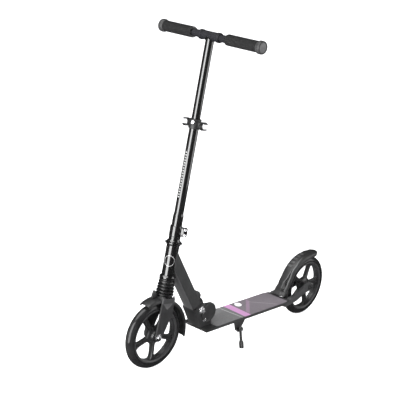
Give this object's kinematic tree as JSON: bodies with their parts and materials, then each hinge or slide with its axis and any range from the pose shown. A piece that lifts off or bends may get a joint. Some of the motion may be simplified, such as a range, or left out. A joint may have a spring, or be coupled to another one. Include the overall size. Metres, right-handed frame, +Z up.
{
  "type": "kick scooter",
  "caption": "Child's folding kick scooter with big wheels, sprung fork, height-adjustable bar, rear brake mudguard and kickstand, standing on the stand.",
  "frame": {"origin": "on the ground under the middle of the bounding box, with the scooter leaning on its kickstand", "axes": "+X forwards, +Y to the rider's left (the stand's side), +Z up"},
  "size_m": [0.9194, 0.3924, 0.9881],
  "materials": {
    "frame_black": "matt black powder coat",
    "cast_black": "satin black casting",
    "gloss_black": "gloss black paint",
    "plastic": "black moulding",
    "rubber": "black rubber",
    "tyre": "smooth black polyurethane",
    "foam": "dark grey closed-cell foam",
    "cap": "grey moulded end cap",
    "tape": "grey gritty grip tape",
    "chrome": "bright plated",
    "steel": "zinc plated"
  },
  "bodies": {
    "deck": {"deck_board": "frame_black", "deck_nose": "cast_black", "grip_tape": "tape", "frame_bolt_1": "steel", "frame_bolt_2": "steel", "hinge_bracket": "cast_black", "fold_pivot_bolt": "chrome", "hinge_lock_bolt": "chrome", "rear_arm_left": "frame_black", "rear_arm_right": "frame_black", "brake_pin": "steel", "brake_spring": "steel", "rear_axle_bolt": "steel", "rear_axle_nut": "steel", "kickstand_bracket": "frame_black", "kickstand_bolt": "steel"},
    "front_frame": {"down_tube": "frame_black", "hinge_knuckle": "cast_black", "head_tube": "gloss_black", "headset_cup_lower": "gloss_black", "headset_cup_upper": "gloss_black"},
    "catch": {"release_catch": "plastic"},
    "steering": {"steerer_tube": "steel", "headset_bearing_lower": "steel", "headset_bearing_upper": "steel", "headset_cap": "plastic", "collar_clamp": "gloss_black", "clamp_bolt_upper": "chrome", "clamp_bolt_lower": "chrome", "column_tube": "gloss_black", "column_holder": "plastic", "suspension_spring": "steel", "suspension_boot": "rubber"},
    "pin": {"height_pin": "chrome"},
    "handlebar": {"stem_tube": "gloss_black", "bar_sleeve": "frame_black"},
    "grip_left": {"grip_bar_left": "gloss_black", "grip_foam_left": "foam", "grip_cap_left": "cap"},
    "grip_right": {"grip_bar_right": "gloss_black", "grip_foam_right": "foam", "grip_cap_right": "cap"},
    "front_fork": {"fork": "cast_black", "fork_stem": "steel", "front_guard_visor": "plastic", "front_guard_flap": "plastic", "front_axle_bolt": "chrome", "front_axle_nut": "steel"},
    "front_wheel": {"front_tyre": "tyre", "front_rim": "plastic", "front_bearing_left": "steel", "front_bearing_right": "steel"},
    "rear_wheel": {"rear_tyre": "tyre", "rear_rim": "plastic", "rear_bearing_left": "steel", "rear_bearing_right": "steel"},
    "brake": {"brake_guard": "plastic"},
    "kickstand": {"kickstand_leg": "gloss_black", "kickstand_foot": "rubber"}
  },
  "joints": [
    {"name": "fold", "type": "hinge", "parent": "deck", "child": "front_frame", "pos_m": [0.18506, -0.10799, 0.14285], "axis": [0, -0.9911, 0.1333], "range_deg": [0, 83]},
    {"name": "catch_pull", "type": "slide", "parent": "front_frame", "child": "catch", "axis": [-0.8241, 0.0755, 0.5614], "range_m": [0, 0.005], "stiffness_N_per_m": 600, "springref_m": -0.006},
    {"name": "steer", "type": "hinge", "parent": "front_frame", "child": "steering", "pos_m": [0.31707, -0.08446, 0.31776], "axis": [-0.1165, 0.1324, 0.9843], "range_deg": [-41, 49]},
    {"name": "pin_pull", "type": "slide", "parent": "steering", "child": "pin", "axis": [0.9272, 0.3697, 0.06], "range_m": [0, 0.003], "stiffness_N_per_m": 800, "springref_m": -0.004},
    {"name": "bar_height", "type": "slide", "parent": "steering", "child": "handlebar", "axis": [-0.1165, 0.1324, 0.9843], "range_m": [-0.18, 0.03]},
    {"name": "grip_left_pull", "type": "slide", "parent": "handlebar", "child": "grip_left", "axis": [0.0693, 0.9897, -0.1249], "range_m": [0, 0.03]},
    {"name": "grip_right_pull", "type": "slide", "parent": "handlebar", "child": "grip_right", "axis": [-0.0693, -0.9897, 0.1249], "range_m": [0, 0.03]},
    {"name": "fork_travel", "type": "slide", "parent": "steering", "child": "front_fork", "axis": [-0.1165, 0.1324, 0.9843], "range_m": [0, 0.018], "stiffness_N_per_m": 8000, "springref_m": -0.01, "deforming": ["suspension_spring", "suspension_boot"]},
    {"name": "front_wheel_spin", "type": "hinge", "parent": "front_fork", "child": "front_wheel", "pos_m": [0.36001, -0.11503, 0.09939], "axis": [0.0693, 0.9897, -0.1249], "continuous": true},
    {"name": "rear_wheel_spin", "type": "hinge", "parent": "deck", "child": "rear_wheel", "pos_m": [-0.35994, -0.11385, 0.09924], "axis": [0, 0.9911, -0.1333], "continuous": true},
    {"name": "brake_press", "type": "hinge", "parent": "deck", "child": "brake", "pos_m": [-0.24494, -0.11699, 0.07595], "axis": [0, -0.9911, 0.1333], "range_deg": [0, 2], "stiffness_Nm_per_rad": 4, "springref_deg": -5.73},
    {"name": "stand_swing", "type": "hinge", "parent": "deck", "child": "kickstand", "pos_m": [0.02506, -0.06548, 0.04632], "axis": [0.166, 0.8453, 0.5079], "range_deg": [0, 107]}
  ]
}
